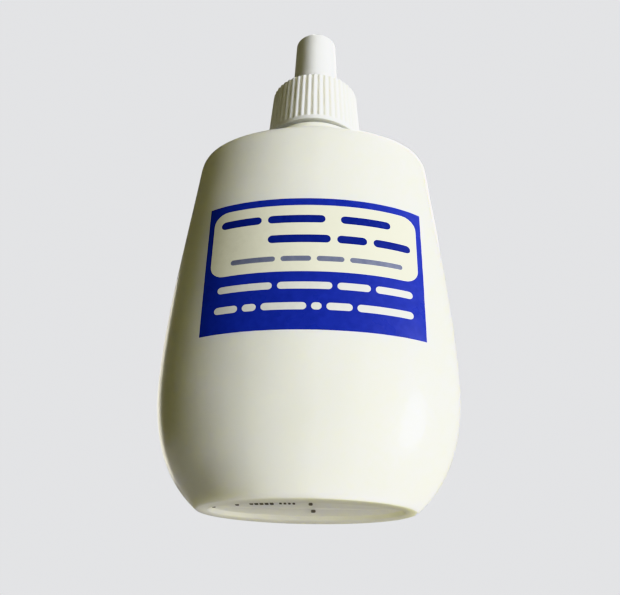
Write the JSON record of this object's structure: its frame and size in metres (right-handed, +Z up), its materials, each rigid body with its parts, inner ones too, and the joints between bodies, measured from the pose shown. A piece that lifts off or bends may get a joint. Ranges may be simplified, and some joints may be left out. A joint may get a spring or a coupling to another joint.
{
  "type": "lens cleaning spray bottle",
  "caption": "Oval plastic squeeze bottle of lens cleaning fluid, with a front label and a ribbed screw cap whose long tip covers a spray nozzle.",
  "frame": {"origin": "centre of the bottle's flat base, on the surface it stands on", "axes": "+Z up along the bottle and the cap's screw axis; -Y towards the label; +X to the right of the label"},
  "size_m": [0.0668, 0.0361, 0.127],
  "materials": {
    "bottle_plastic": "satin natural polyethylene, slightly translucent",
    "label_film": "printed film, satin",
    "plug_plastic": "satin polyethylene",
    "insert_plastic": "moulded plastic",
    "tube_plastic": "extruded plastic",
    "fluid": "clear liquid, stands in for the cleaning fluid",
    "foam": "closed-cell foam",
    "cap_plastic": "satin moulded plastic"
  },
  "bodies": {
    "bottle": {"bottle": "bottle_plastic", "front_label": "label_film", "spray_plug": "plug_plastic", "jet_insert": "insert_plastic", "dip_tube": "tube_plastic", "cleaning_fluid": "fluid"},
    "cap_seal": {"cap_seal_ring": "foam"},
    "cap": {"screw_cap": "cap_plastic"}
  },
  "joints": [
    {"name": "cap_rise", "type": "slide", "parent": "bottle", "child": "cap_seal", "axis": [0, 0, 1], "range_m": [0, 0.0061]},
    {"name": "cap_turn", "type": "hinge", "parent": "cap_seal", "child": "cap", "pos_m": [0, 0, 0.1], "axis": [0, 0, 1], "range_deg": [0, 684]}
  ],
  "couplings": [
    {"joint": "cap_rise", "follows": "cap_turn", "m_per_rad": 0.0005093}
  ]
}
